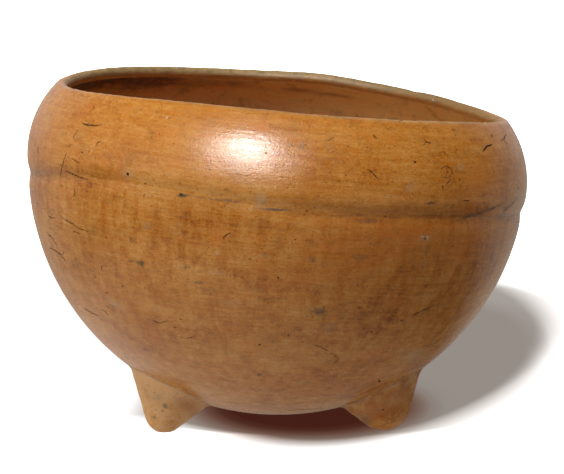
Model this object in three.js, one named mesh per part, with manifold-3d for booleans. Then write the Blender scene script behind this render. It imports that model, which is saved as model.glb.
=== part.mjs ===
// A hand-built clay bowl on three small feet, in the pieces that its potter joined:
// a round lower bowl, an incurving wall set on it at the shoulder, a coil for the rim,
// three solid feet, and a coil of soft clay smeared round the root of each foot.
// Millimetres, +Z up. The origin is on the floor, below the centre of the round belly.
// A heading is the angle round the bowl from the front (-Y) towards the right (+X).

import * as THREE from 'three';
import { mergeVertices } from 'three/addons/utils/BufferGeometryUtils.js';
import Module from 'manifold-3d';

const inRadians = THREE.MathUtils.degToRad;

// The belly, a part of a ball. Heights in the bowl are counted from its centre,
// along the bowl's own axis, which leans to the right.
const bellyRadius = 101.5;
const bellyAboveFloor = 3.8;
const leanAngle = inRadians(5.3);
const baseThickness = 8;
const seamThickness = 5.8;

// The wall above the shoulder seam curves in to the mouth along an arc.
const shoulderSwell = 0.6;
const shoulderArcRadius = 42;
const neckThickness = 4.6;

// The rim coil has a fully rounded lip, a little thicker than the neck below it.
const lipThickness = 5.2;
const rimCoilHeight = 9;

// Mean heights of the shoulder seam and of the lip's crest, and how each wavers:
// every waver lifts the line by its rise at its crest, so many times in a turn.
const seamHeight = -4.75;
const seamSaddleRise = 3.3;
const seamQuarterRise = 1.55;
const seamTremorRise = 1.2;
const seamWavers = [
  { rise: seamSaddleRise, timesRound: 2, crest: inRadians(0) },
  { rise: seamQuarterRise, timesRound: 4, crest: inRadians(45) },
  { rise: seamTremorRise, timesRound: 3, crest: inRadians(-30) },
];
const lipHeight = 30.1;
const lipTiltRise = 0.45;
const lipSaddleRise = 1.85;
const lipQuarterRise = 0.45;
const lipWavers = [
  { rise: lipTiltRise, timesRound: 1, crest: inRadians(45) },
  { rise: lipSaddleRise, timesRound: 2, crest: inRadians(8) },
  { rise: lipQuarterRise, timesRound: 4, crest: inRadians(-32) },
];

// The bowl is a little oval in plan, most where it is widest.
const ovalRise = 0.5;
const ovalHeading = inRadians(52);

// The pieces meet on scarf joints that fall inwards, with a film of slip between them.
// Outside, the shoulder seam was never filled and is left as a soft groove.
const slipGap = 0.3;
const scarfDrop = 4;
const grooveDepth = 0.8;
const grooveHalfWidth = 3.2;

// A foot is a blunt cone that splays outwards, worn flat where it stands. The feet differ:
// each has its own place, its own tip, and its own reach of clay smeared round the root.
const footFlankAngle = inRadians(34.5);
const footSplay = inRadians(20.5);
const footWear = 0.8;
const leftTipCircle = 50.6;
const leftTipRadius = 8;
const leftLutingReach = 2;
const rightTipCircle = 46.2;
const rightTipRadius = 11;
const rightLutingReach = 3.2;
const rearTipCircle = 49.5;
const rearTipRadius = 8.8;
const rearLutingReach = 2.6;
const feet = [
  {
    side: 'left',
    heading: inRadians(-64.5),
    tipCircle: leftTipCircle,
    tipRadius: leftTipRadius,
    lutingReach: leftLutingReach,
  },
  {
    side: 'right',
    heading: inRadians(69),
    tipCircle: rightTipCircle,
    tipRadius: rightTipRadius,
    lutingReach: rightLutingReach,
  },
  {
    side: 'rear',
    heading: inRadians(179),
    tipCircle: rearTipCircle,
    tipRadius: rearTipRadius,
    lutingReach: rearLutingReach,
  },
];

// The luting clay's edges are not feathered out to nothing.
const lutingEdge = 0.4;

// How far a cutting solid runs past what it cuts.
const cutOverrun = 12;

// How finely the curved faces are divided.
const headingSteps = 72;
const bellySteps = 14;
const grooveSteps = 4;
const wallSteps = 6;
const rimSteps = 3;
const lipSteps = 7;
const footSteps = 36;
const footTipSteps = 5;
const lutingSteps = 40;
const filletSteps = 4;

const footAxis = new THREE.Vector3(0, 0, 1);
const bellyCentreHeight = bellyRadius + bellyAboveFloor;
const arcCentreRadius = bellyRadius + shoulderSwell - shoulderArcRadius;

const burnishedClay = new THREE.MeshStandardMaterial({ color: 0xb5713a, roughness: 0.42, metalness: 0 });
const wallClay = new THREE.MeshStandardMaterial({ color: 0xbd7a42, roughness: 0.4, metalness: 0 });
const wornLipClay = new THREE.MeshStandardMaterial({ color: 0xb08a58, roughness: 0.65, metalness: 0 });
const footClay = new THREE.MeshStandardMaterial({ color: 0xb87f4a, roughness: 0.55, metalness: 0 });
const lutingClay = new THREE.MeshStandardMaterial({ color: 0xa96a3a, roughness: 0.55, metalness: 0 });

const wasm = await Module();
wasm.setup();

// Even values from one end to the other, both ends included.
function spread(from, to, steps) {
  return Array.from({ length: steps + 1 }, (_, i) => from + ((to - from) * i) / steps);
}

function waveringHeight(mean, wavers, heading) {
  return wavers.reduce(
    (height, { rise, timesRound, crest }) => height + rise * Math.cos(timesRound * (heading - crest)),
    mean,
  );
}

const seamAt = (heading) => waveringHeight(seamHeight, seamWavers, heading);
const lipAt = (heading) => waveringHeight(lipHeight, lipWavers, heading);
const neckAt = (heading) => lipAt(heading) - rimCoilHeight;

// How far the plan stands out of round at a heading, for a point that far from the axis.
function ovalOffset(heading, radius) {
  const widthShare = radius / bellyRadius;
  return ovalRise * widthShare ** 2 * Math.cos(2 * (heading - ovalHeading));
}

// How much of a groove's depth is left at a distance from its middle.
function grooveShare(distance) {
  return Math.exp(-((distance / grooveHalfWidth) ** 2));
}

// A point of a section is [radius, height]. The belly's are found by the angle from straight down.
function bellyOutside(angle, seam) {
  const skin = bellyRadius - grooveDepth * grooveShare(seam + bellyRadius * Math.cos(angle));
  return [skin * Math.sin(angle), -skin * Math.cos(angle)];
}

function bellyInside(angle) {
  const baseShare = Math.cos(angle) ** 2;
  const hollow = bellyRadius - seamThickness - (baseThickness - seamThickness) * baseShare;
  return [hollow * Math.sin(angle), -hollow * Math.cos(angle)];
}

// The wall's points are at some depth inside one arc, found by their height.
function wallPoint(height, depth) {
  const reach = Math.sqrt((shoulderArcRadius - depth) ** 2 - height ** 2);
  return [arcCentreRadius + reach, height];
}

// The angles at which the lower bowl's outer and inner skins end, at the seam's scarf.
function seamAngles(seam) {
  const outer = Math.acos(-seam / bellyRadius);
  const inner = Math.acos((scarfDrop - seam) / (bellyRadius - seamThickness));
  return { outer, inner };
}

function lowerBowlSection(heading) {
  const seam = seamAt(heading);
  const { outer, inner } = seamAngles(seam);
  const grooveStart = outer - (2 * grooveHalfWidth) / bellyRadius;
  const outerAngles = [
    ...spread(0, grooveStart, bellySteps),
    ...spread(grooveStart, outer, grooveSteps).slice(1),
  ];
  return [
    ...outerAngles.map((angle) => bellyOutside(angle, seam)),
    ...spread(inner, 0, bellySteps).map(bellyInside),
  ];
}

// The wall seats on the lower bowl's two edges, then swells out to its own arcs.
function shoulderWallSection(heading) {
  const seam = seamAt(heading);
  const { outer, inner } = seamAngles(seam);
  const [outerSeat, outerSeatHeight] = bellyOutside(outer, seam);
  const [innerSeat, innerSeatHeight] = bellyInside(inner);
  const foot = outerSeatHeight + slipGap;
  const innerFoot = innerSeatHeight + slipGap;
  const top = neckAt(heading);
  const grooveEnd = foot + 2 * grooveHalfWidth;
  const outerSwell = wallPoint(foot, 0)[0] - outerSeat;
  const innerSwell = wallPoint(innerFoot, seamThickness)[0] - innerSeat;
  const outerHeights = [
    ...spread(foot, grooveEnd, grooveSteps),
    ...spread(grooveEnd, top, wallSteps).slice(1),
  ];
  const outside = outerHeights.map((height) => {
    const [radius] = wallPoint(height, 0);
    return [radius - outerSwell * grooveShare(height - foot), height];
  });
  const inside = spread(1, 0, wallSteps).map((share) => {
    const height = innerFoot + (top - scarfDrop - innerFoot) * share;
    const [radius] = wallPoint(height, seamThickness + (neckThickness - seamThickness) * share);
    return [radius - innerSwell * (1 - share), height];
  });
  return [...outside, ...inside];
}

function rimCoilSection(heading) {
  const foot = neckAt(heading) + slipGap;
  const lipRadius = lipThickness / 2;
  const midArc = shoulderArcRadius - lipRadius;
  const lipTurn = Math.asin((lipAt(heading) - lipRadius) / midArc);
  const lipCentre = [arcCentreRadius + midArc * Math.cos(lipTurn), midArc * Math.sin(lipTurn)];
  const lip = spread(lipTurn, lipTurn + Math.PI, lipSteps).map((turn) => [
    lipCentre[0] + lipRadius * Math.cos(turn),
    lipCentre[1] + lipRadius * Math.sin(turn),
  ]);
  const outerTop = lip[0][1];
  const innerTop = lip[lipSteps][1];
  const innerFoot = foot - scarfDrop;
  return [
    ...spread(foot, outerTop, rimSteps).slice(0, -1).map((height) => wallPoint(height, 0)),
    ...lip,
    ...spread(1, 0, rimSteps).slice(1).map((share) =>
      wallPoint(
        innerFoot + (innerTop - innerFoot) * share,
        neckThickness + (lipThickness - neckThickness) * share,
      ),
    ),
  ];
}

// Joins the sections of all turns into one closed surface. Where a section's point is
// on the axis, the triangles there meet in a pole.
function surfaceThrough(sections, isPole = []) {
  const turns = sections.length;
  const points = sections[0].length;
  const indices = [];
  for (let turn = 0; turn < turns; turn++) {
    const here = turn * points;
    const beside = ((turn + 1) % turns) * points;
    for (let point = 0; point < points; point++) {
      const next = (point + 1) % points;
      if (!isPole[point]) indices.push(here + point, beside + point, beside + next);
      if (!isPole[next]) indices.push(here + point, beside + next, here + next);
    }
  }
  const geometry = new THREE.BufferGeometry();
  geometry.setAttribute('position', new THREE.Float32BufferAttribute(sections.flat(2), 3));
  geometry.setIndex(indices);
  const joined = mergeVertices(geometry);
  joined.computeVertexNormals();
  return joined;
}

function sweptRound(sectionAt) {
  const headings = spread(0, 2 * Math.PI, headingSteps).slice(0, -1);
  const sections = headings.map((heading) =>
    sectionAt(heading).map(([radius, height]) => {
      const reach = radius + ovalOffset(heading, radius);
      return [reach * Math.sin(heading), -reach * Math.cos(heading), height];
    }),
  );
  const isPole = sectionAt(0).map(([radius]) => radius < slipGap);
  return surfaceThrough(sections, isPole);
}

// A cutter in the belly's shape, standing off its skin by the film of slip.
function bellyCutter() {
  const growShare = 1 + slipGap / bellyRadius;
  const cutter = sweptRound((heading) => [...lowerBowlSection(heading).slice(0, bellySteps + 1), [0, 0]]);
  return cutter.scale(growShare, growShare, growShare);
}

function toSolid(geometry, matrix) {
  const bare = geometry.clone().applyMatrix4(matrix);
  bare.deleteAttribute('normal');
  bare.deleteAttribute('uv');
  const merged = mergeVertices(bare);
  return new wasm.Manifold(
    new wasm.Mesh({
      numProp: 3,
      vertProperties: new Float32Array(merged.attributes.position.array),
      triVerts: new Uint32Array(merged.index.array),
    }),
  );
}

function toGeometry(solid) {
  const { vertProperties, triVerts } = solid.getMesh();
  const geometry = new THREE.BufferGeometry();
  geometry.setAttribute('position', new THREE.BufferAttribute(vertProperties, 3));
  geometry.setIndex(new THREE.BufferAttribute(triVerts, 1));
  geometry.computeVertexNormals();
  return geometry;
}

function namedMesh(name, geometry, material) {
  const mesh = new THREE.Mesh(geometry, material);
  mesh.name = name;
  return mesh;
}

// The cone before it is cut to the belly: its tip ball is centred on the foot's origin,
// and its axis is the foot's own Z.
function footCone(tipRadius, length) {
  const tip = spread(-Math.PI / 2, -footFlankAngle, footTipSteps).map(
    (angle) => new THREE.Vector2(tipRadius * Math.cos(angle), tipRadius * Math.sin(angle)),
  );
  tip[0].x = 0;
  const tangent = tip[footTipSteps];
  const top = new THREE.Vector2(tangent.x + (length - tangent.y) * Math.tan(footFlankAngle), length);
  const profile = [...tip, top, new THREE.Vector2(0, length)];
  return new THREE.LatheGeometry(profile, footSteps).rotateX(Math.PI / 2);
}

// How far a point in the foot's frame stands outside the belly's skin, and the way out of it.
function bellyMeasure(footToBowl) {
  const bowlToFoot = footToBowl.clone().invert();
  const outside = (point) => {
    const { x, y, z } = point.clone().applyMatrix4(footToBowl);
    const radius = Math.hypot(x, y);
    return Math.hypot(radius - ovalOffset(Math.atan2(x, -y), radius), z) - bellyRadius;
  };
  const wayOut = (point) =>
    point.clone().applyMatrix4(footToBowl).normalize().transformDirection(bowlToFoot);
  return { outside, wayOut };
}

// Where a line from outside the belly comes down to a film's thickness from its skin.
function whereItMeets(start, direction, longest, outside) {
  let near = 0;
  let far = longest;
  const halvings = 40;
  for (let i = 0; i < halvings; i++) {
    const middle = (near + far) / 2;
    if (outside(start.clone().addScaledVector(direction, middle)) > slipGap) near = middle;
    else far = middle;
  }
  return near;
}

// The corner under the belly that a foot's flank runs up into, at a turn round the foot's axis.
function rootCorner(turn, tipRadius, outside) {
  const across = new THREE.Vector3(1, 0, 0).applyAxisAngle(footAxis, turn);
  const flankOut = across.clone().multiplyScalar(Math.cos(footFlankAngle));
  flankOut.addScaledVector(footAxis, -Math.sin(footFlankAngle));
  const flankUp = across.clone().multiplyScalar(Math.sin(footFlankAngle));
  flankUp.addScaledVector(footAxis, Math.cos(footFlankAngle));
  const tangent = flankOut.clone().multiplyScalar(tipRadius + slipGap);
  const rise = whereItMeets(tangent, flankUp, bellyRadius, outside);
  const corner = tangent.clone().addScaledVector(flankUp, rise);
  return { across, flankOut, flankUp, corner };
}

// The soft clay round a foot's root: at each turn its section fills the corner between
// the flank and the belly, with a hollow face smeared by a finger.
function lutingCoil(corners, lutingReach, { outside, wayOut }) {
  const sections = corners.map(({ across, flankOut, flankUp, corner }) => {
    const bellyOut = wayOut(corner);
    const alongBelly = across.clone().addScaledVector(bellyOut, -bellyOut.dot(across)).normalize();
    const onFlank = corner.clone().addScaledVector(flankUp, -lutingReach);
    const onBelly = corner.clone().addScaledVector(alongBelly, lutingReach);
    onBelly.addScaledVector(wayOut(onBelly), slipGap - outside(onBelly));

    const face = new THREE.QuadraticBezierCurve3(
      onFlank.clone().addScaledVector(flankOut, lutingEdge),
      corner.clone().addScaledVector(flankOut, lutingEdge).addScaledVector(bellyOut, lutingEdge),
      onBelly.clone().addScaledVector(wayOut(onBelly), lutingEdge),
    );
    return [corner, onFlank, ...face.getPoints(filletSteps), onBelly].map((point) => point.toArray());
  });
  return surfaceThrough(sections);
}

// The bowl's three wall pieces share one leaning frame.
const tripodBowl = new THREE.Group();
const leaningBowl = new THREE.Group();
leaningBowl.position.z = bellyCentreHeight;
leaningBowl.rotation.y = leanAngle;
leaningBowl.add(
  namedMesh('lower_bowl', sweptRound(lowerBowlSection), burnishedClay),
  namedMesh('shoulder_wall', sweptRound(shoulderWallSection), wallClay),
  namedMesh('rim_coil', sweptRound(rimCoilSection), wornLipClay),
);
tripodBowl.add(leaningBowl);
tripodBowl.updateMatrixWorld(true);

// The ground under the feet, as deep as the bowl is wide.
const bellyWidth = 2 * bellyRadius;
const groundSlab = new THREE.BoxGeometry(bellyWidth, bellyWidth, bellyWidth).translate(0, 0, -bellyRadius);

// Each foot is cut to the belly above it and to the ground below it.
const inPlace = new THREE.Matrix4();
const belly = toSolid(bellyCutter(), leaningBowl.matrixWorld);
const ground = toSolid(groundSlab, inPlace);
for (const foot of feet) {
  const place = new THREE.Group();
  const footFrame = new THREE.Group();
  place.rotation.z = foot.heading;
  footFrame.position.set(0, -foot.tipCircle, foot.tipRadius - footWear);
  footFrame.rotation.x = -footSplay;
  place.add(footFrame);
  tripodBowl.add(place);
  tripodBowl.updateMatrixWorld(true);

  const footToBowl = leaningBowl.matrixWorld.clone().invert().multiply(footFrame.matrixWorld);
  const measure = bellyMeasure(footToBowl);
  const turns = spread(0, 2 * Math.PI, lutingSteps).slice(0, -1);
  const corners = turns.map((turn) => rootCorner(turn, foot.tipRadius, measure.outside));
  const rootHeight = Math.max(...corners.map(({ corner }) => corner.z));
  const cone = toSolid(footCone(foot.tipRadius, rootHeight + cutOverrun), footFrame.matrixWorld);
  const carved = toGeometry(cone.subtract(belly).subtract(ground));
  carved.applyMatrix4(footFrame.matrixWorld.clone().invert());
  footFrame.add(
    namedMesh(`foot_${foot.side}`, carved, footClay),
    namedMesh(`luting_coil_${foot.side}`, lutingCoil(corners, foot.lutingReach, measure), lutingClay),
  );
}

export default tripodBowl;
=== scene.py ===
"""A hand-built clay bowl on three small feet: its skins, joins, cracks and worn clay.

Shapes are counted in millimetres and written to meshes in metres. The origin is on the floor
below the centre of the round belly. A heading is the angle round the bowl from the front (-Y)
towards the right (+X). The bowl's own frame starts at the belly's centre and leans to the right.
"""

import math
import random

import bpy
import numpy as np
from mathutils import Euler, Matrix, Vector, noise
from mathutils.bvhtree import BVHTree


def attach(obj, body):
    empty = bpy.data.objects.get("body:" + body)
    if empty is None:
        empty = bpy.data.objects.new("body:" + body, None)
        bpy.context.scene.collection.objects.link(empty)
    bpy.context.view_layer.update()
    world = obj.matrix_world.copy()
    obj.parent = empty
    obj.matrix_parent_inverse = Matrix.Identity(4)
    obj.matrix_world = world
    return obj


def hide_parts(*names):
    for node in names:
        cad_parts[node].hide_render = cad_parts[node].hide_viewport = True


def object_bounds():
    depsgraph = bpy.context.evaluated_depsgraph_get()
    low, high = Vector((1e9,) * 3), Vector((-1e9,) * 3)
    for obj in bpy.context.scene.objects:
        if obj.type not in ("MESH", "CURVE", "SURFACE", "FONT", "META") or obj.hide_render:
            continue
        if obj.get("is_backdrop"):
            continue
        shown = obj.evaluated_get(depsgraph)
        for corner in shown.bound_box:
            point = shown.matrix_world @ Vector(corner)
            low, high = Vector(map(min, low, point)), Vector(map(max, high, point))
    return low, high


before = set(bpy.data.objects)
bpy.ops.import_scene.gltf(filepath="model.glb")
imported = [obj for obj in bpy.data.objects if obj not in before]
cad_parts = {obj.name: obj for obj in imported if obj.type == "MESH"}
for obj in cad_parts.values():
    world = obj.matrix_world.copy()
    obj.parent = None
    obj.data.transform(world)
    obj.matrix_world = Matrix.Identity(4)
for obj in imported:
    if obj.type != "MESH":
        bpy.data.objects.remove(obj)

cad_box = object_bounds()
METRES = 0.001

# The belly is part of a ball, and the wall above it curves in along an arc.
BELLY_RADIUS = 101.5
BELLY_ABOVE_FLOOR = 3.8
LEAN = math.radians(5.3)
BASE_THICKNESS = 8
SEAM_THICKNESS = 5.8
SHOULDER_SWELL = 0.6
SHOULDER_ARC_RADIUS = 42
NECK_THICKNESS = 4.6
LIP_THICKNESS = 5.2
RIM_COIL_HEIGHT = 9
BELLY_CENTRE_HEIGHT = BELLY_RADIUS + BELLY_ABOVE_FLOOR
ARC_CENTRE_RADIUS = BELLY_RADIUS + SHOULDER_SWELL - SHOULDER_ARC_RADIUS

# Each waver lifts its line by a rise at its crest heading, so many times in a turn.
SEAM_HEIGHT = -4.75
SEAM_WAVERS = [(3.3, 2, 0), (1.55, 4, 45), (1.2, 3, -30)]
LIP_HEIGHT = 30.1
LIP_WAVERS = [(0.45, 1, 45), (1.85, 2, 8), (0.45, 4, -32)]
LIP_LIFTS = [(171, 17, 1.4), (132, 13, 0.6)]
OVAL_RISE = 0.5
OVAL_HEADING = math.radians(52)

# The joins: a groove left outside at the shoulder, and scarfs that fall inwards. The burnisher
# closed most of the groove at some headings: each is in degrees, with its reach and its share.
SCARF_DROP = 4
GROOVE_DEPTH = 0.8
GROOVE_HALF_WIDTH = 3.2
GROOVE_BURNISHED = [(-20, 36, 0.88), (112, 28, 0.5), (178, 45, 0.6), (-130, 20, 0.4)]
INNER_JOIN_DEPTH = 0.35
INNER_JOIN_HALF_WIDTH = 2.4

# The feet: heading in degrees, circle that the tip stands on, tip radius, reach of the luting
# clay over the flank and the belly, and how full it was left, from a hollow smear to a bead.
FOOT_FLANK_ANGLE = math.radians(34.5)
FOOT_SPLAY = math.radians(20.5)
FOOT_WEAR = 0.8
FEET = {
    "left": (-64.5, 50.6, 8, 1.5, 0.1),
    "right": (69, 46.2, 11, 2.3, 0.0),
    "rear": (179, 49.5, 8.8, 2.8, 0.1),
}

# The camera and the photograph's frame.
FRAME_WIDTH = 564
FRAME_HEIGHT = 474
LENS = 174.4
SENSOR_WIDTH = 36
FOCAL_PIXELS = LENS / SENSOR_WIDTH * FRAME_WIDTH
CAMERA_PLACE = Vector((0, -1.10669, 0.24118))
CAMERA_TURN = Euler((math.radians(90 - 8.478), 0, math.radians(-0.0985)))

bowl_to_row = Matrix.Translation((0, 0, BELLY_CENTRE_HEIGHT)) @ Matrix.Rotation(LEAN, 4, "Y")
row_to_bowl = bowl_to_row.inverted()


def make_camera():
    camera = bpy.data.objects.new("camera", bpy.data.cameras.new("camera"))
    camera.data.lens = LENS
    camera.data.sensor_width = SENSOR_WIDTH
    camera.location = CAMERA_PLACE
    camera.rotation_euler = CAMERA_TURN
    bpy.context.collection.objects.link(camera)
    bpy.context.scene.camera = camera


make_camera()


def moved(points, matrix):
    """Points, in an array of any shape whose last side is 3, through a matrix."""
    turn = np.array(matrix.to_3x3())
    return points @ turn.T + np.array(matrix.to_translation())


def joined(*parts):
    """Columns of section values, one part after another."""
    return np.concatenate(parts, axis=1)


def spread(start, end, steps):
    """Even values from start to end for each heading, both ends included."""
    share = np.linspace(0, 1, steps + 1)
    return start + (end - start) * share


def wavering(mean, wavers, heading):
    height = np.full_like(heading, mean)
    for rise, times_round, crest in wavers:
        height += rise * np.cos(times_round * (heading - math.radians(crest)))
    return height


def seam_at(heading):
    return wavering(SEAM_HEIGHT, SEAM_WAVERS, heading)


def lip_at(heading):
    height = wavering(LIP_HEIGHT, LIP_WAVERS, heading)
    for middle, reach, lift in LIP_LIFTS:
        height += lift * near_heading(heading, middle, reach)
    return height


def oval_offset(heading, radius):
    return OVAL_RISE * (radius / BELLY_RADIUS) ** 2 * np.cos(2 * (heading - OVAL_HEADING))


def soft_share(distance, half_width):
    return np.exp(-((distance / half_width) ** 2))


def headings_round(turns):
    return (np.arange(turns) * 2 * math.pi / turns)[:, None]


def turned_from(heading, degrees):
    """The angle from a heading to one in degrees, the short way round."""
    return np.abs((heading - math.radians(degrees) + math.pi) % (2 * math.pi) - math.pi)


def near_heading(heading, degrees, reach):
    """1 at a heading in degrees, falling softly to 0 on both sides over its reach."""
    return soft_share(turned_from(heading, degrees), math.radians(reach))


def groove_left(heading):
    """The share of the shoulder groove that the burnisher left open."""
    left = np.ones_like(heading)
    for middle, reach, closed in GROOVE_BURNISHED:
        left -= closed * near_heading(heading, middle, reach)
    return np.clip(left, 0, 1)


def on_ball(radius, angle):
    """A section's [radius, height] on a ball, at an angle from its lowest point."""
    return np.stack([radius * np.sin(angle), -radius * np.cos(angle)], axis=-1)


def belly_outside(heading, angle, seam):
    depth = soft_share(seam + BELLY_RADIUS * np.cos(angle), GROOVE_HALF_WIDTH)
    return on_ball(BELLY_RADIUS - GROOVE_DEPTH * groove_left(heading) * depth, angle)


def belly_inside(angle, inner):
    thickness = SEAM_THICKNESS + (BASE_THICKNESS - SEAM_THICKNESS) * np.cos(angle) ** 2
    thickness = thickness - INNER_JOIN_DEPTH * soft_share((inner - angle) * BELLY_RADIUS, INNER_JOIN_HALF_WIDTH)
    return on_ball(BELLY_RADIUS - thickness, angle)


def wall_point(height, depth):
    reach = np.sqrt((SHOULDER_ARC_RADIUS - depth) ** 2 - height**2)
    return np.stack([ARC_CENTRE_RADIUS + reach, height], axis=-1)


def seam_angles(seam):
    outer = np.arccos(-seam / BELLY_RADIUS)
    inner = np.arccos((SCARF_DROP - seam) / (BELLY_RADIUS - SEAM_THICKNESS))
    return outer, inner


def hand_relief(points, sizes_and_depths):
    """How far hand shaping sinks the skin at each point: slow hollows, never proud of the true shape."""
    flat = points.reshape(-1, 3)
    sunk = np.zeros(len(flat))
    for size, depth in sizes_and_depths:
        swing = np.array([noise.noise(Vector(p) / size) for p in flat])
        sunk += depth * (0.5 + 0.5 * swing)
    return sunk.reshape(points.shape[:-1])


# The worn lip: fine nibbling all round, and chips at headings in degrees, so wide and deep.
# Then the hand's shaping of each skin: the size of its hollows and their depth.
LIP_RADIUS = 88
LIP_WORN_AT = math.radians(95)
LIP_WORN_REACH = math.radians(42)
LIP_NIBBLES = [(7, 0.3), (2.6, 0.28)]
LIP_CHIPS = [
    (-68, 1.3, 0.45), (-60, 1.0, 0.35), (-55, 1.2, 0.3),
    (62.5, 1.8, 0.5), (31, 1.4, 0.35), (140, 2.2, 0.6),
]
SHAPING = [(34, 0.5), (13, 0.16), (5, 0.05)]
INSIDE_SHAPING = [(30, 0.9), (12, 0.4), (4, 0.12)]
FOOT_SHAPING = [(9, 0.5), (4, 0.3), (1.6, 0.12)]
LUTING_SHAPING = [(6, 0.4), (2.5, 0.2)]
# How deep the luting clay goes behind its face, how far down a foot its root is darkened with
# painted shade, and the share of the luting clay that the painted shade of the crease takes.
LUTING_BURIED = 0.4
ROOT_SHADE_REACH = 12
CREASE_SHARE = 0.6


def unit(ways):
    return ways / np.linalg.norm(ways, axis=-1, keepdims=True)


def round_bowl(radius, heading, height=0.0):
    """Bowl-frame points at a radius, a heading and a height."""
    return np.stack([radius * np.sin(heading), -radius * np.cos(heading), height + 0 * heading], axis=-1)


def hand_shaped(heading, section, centre_radius, shaping):
    """A section of [radius, height] carried round the bowl, its skin sunk by the hand's relief
    towards a ring of that radius in the belly's middle plane."""
    radius = section[..., 0] + oval_offset(heading, section[..., 0])
    points = round_bowl(radius, heading, section[..., 1])
    way = unit(round_bowl(centre_radius, heading) - points)
    return points + way * hand_relief(points, shaping)[..., None]


class Shape:
    """Rings of points that become one closed mesh. Rings run round, and each has the same count."""

    def __init__(self, closed_section):
        self.closed_section = closed_section
        self.strips = []
        self.sharp_rings = []
        self.values = []

    def add(self, points, sharp_start=False, **values):
        """Adds points[heading, step] as further rings, with a value for each named share."""
        if sharp_start:
            self.sharp_rings += [self.count, self.count - 1]
        self.strips.append(points)
        self.values.append(values)

    @property
    def count(self):
        return sum(strip.shape[1] for strip in self.strips)

    def mesh(self, name, matrix):
        rings = np.concatenate(self.strips, axis=1).swapaxes(0, 1)
        count, turns = rings.shape[:2]
        points = moved(rings.reshape(-1, 3), matrix)
        quads = []
        for ring in range(count if self.closed_section else count - 1):
            here = ring * turns + np.arange(turns)
            above = (ring + 1) % count * turns + np.arange(turns)
            quads.append(np.stack([here, np.roll(here, -1), np.roll(above, -1), above], axis=1))
        faces = np.concatenate(quads).tolist()
        values = {}
        for key in {key for strip in self.values for key in strip}:
            kept = [np.broadcast_to(v.get(key, 0.0), s.shape[:2]) for v, s in zip(self.values, self.strips)]
            values[key] = np.concatenate(kept, axis=1).T.ravel()
        if not self.closed_section:
            for ring, order in ((0, -1), (count - 1, 1)):
                pole = len(points)
                start = ring * turns
                points = np.vstack([points, points[start : start + turns].mean(axis=0)])
                values = {key: np.append(kept, kept[start]) for key, kept in values.items()}
                for turn in range(turns):
                    edge = [start + turn, start + (turn + 1) % turns][::order]
                    faces.append([*edge, pole])
        made = make_mesh(name, points, faces)
        hold_values(made, values)
        ring_of = np.arange(len(points)) // turns
        ends = np.empty(len(made.edges) * 2, dtype=np.int32)
        made.edges.foreach_get("vertices", ends)
        ends = ring_of[ends.reshape(-1, 2)]
        sharp = (ends[:, 0] == ends[:, 1]) & np.isin(ends[:, 0], [r % count for r in self.sharp_rings])
        made.attributes.new("sharp_edge", "BOOLEAN", "EDGE").data.foreach_set("value", sharp)
        return made


def hold_values(mesh, values):
    """Writes named values on a mesh, one for each of its points."""
    for key, kept in values.items():
        mesh.attributes.new(key, "FLOAT", "POINT").data.foreach_set("value", kept.astype(np.float32))


def make_mesh(name, points, faces):
    """A smooth mesh in metres with its faces turned outwards."""
    made = bpy.data.meshes.new(name)
    made.from_pydata((np.asarray(points) * METRES).tolist(), [], faces)
    made.validate()
    if volume_of(points, faces) < 0:
        made.flip_normals()
    made.shade_smooth()
    return made


def volume_of(points, faces):
    """Signed volume inside the faces, from fans over each one."""
    points = np.asarray(points)
    total = 0.0
    for sides in (3, 4):
        chosen = np.array([face for face in faces if len(face) == sides])
        if len(chosen):
            for last in range(2, sides):
                a, b, c = points[chosen[:, 0]], points[chosen[:, last - 1]], points[chosen[:, last]]
                total += np.einsum("ij,ij->", a, np.cross(b, c)) / 6
    return total


# How finely the pieces are divided: turns round, and steps along each stretch of a section.
TURNS = 480
RIM_TURNS = 840
FOOT_TURNS = 160
SKIN_STEPS = 112
GROOVE_STEPS = 20
HOLLOW_STEPS = 58
JOIN_STEPS = 5
WALL_STEPS = 20
WALL_INSIDE_STEPS = 26
LIP_STEPS = 22
RIM_OUTSIDE_STEPS = 12
RIM_INSIDE_STEPS = 15
FOOT_TIP_STEPS = 24
FOOT_FLANK_STEPS = 36
UNDER_BELLY_STEPS = 13
LUTING_STEPS = 16
# How near a section comes to the belly's pole, to the middle of a foot's tip and to the middle
# of its saddle, the millimetres over which a foot's relief fades at its root, and how often the
# fits to the belly are repeated.
POLE_ANGLE = 0.006
TIP_ANGLE = 1.54
UNDER_BELLY_END = 0.04
ROOT_FADE = 4
HALVINGS = 30
BELLY_FITS = 3


def shares_down(steps, end=0.0):
    """Even shares from 1 down to an end."""
    return np.linspace(1, end, steps + 1)[None, :]


def lower_bowl_shape():
    heading = headings_round(TURNS)
    seam = seam_at(heading)
    outer, inner = seam_angles(seam)
    groove_start = outer - 2 * GROOVE_HALF_WIDTH / BELLY_RADIUS
    below_groove = spread(POLE_ANGLE, groove_start, SKIN_STEPS)
    angles = joined(below_groove, spread(groove_start, outer, GROOVE_STEPS)[:, 1:])
    outside = hand_shaped(heading, belly_outside(heading, angles, seam), 0, SHAPING)
    join_end = inner - 2 * INNER_JOIN_HALF_WIDTH / BELLY_RADIUS
    angles = joined(spread(inner, join_end, JOIN_STEPS), spread(join_end, POLE_ANGLE, HOLLOW_STEPS)[:, 1:])
    inside = hand_shaped(heading, belly_inside(angles, inner), 0, INSIDE_SHAPING)
    shape = Shape(closed_section=False)
    shape.add(outside)
    shape.add(inside, sharp_start=True, inside=1.0)
    return shape


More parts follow.
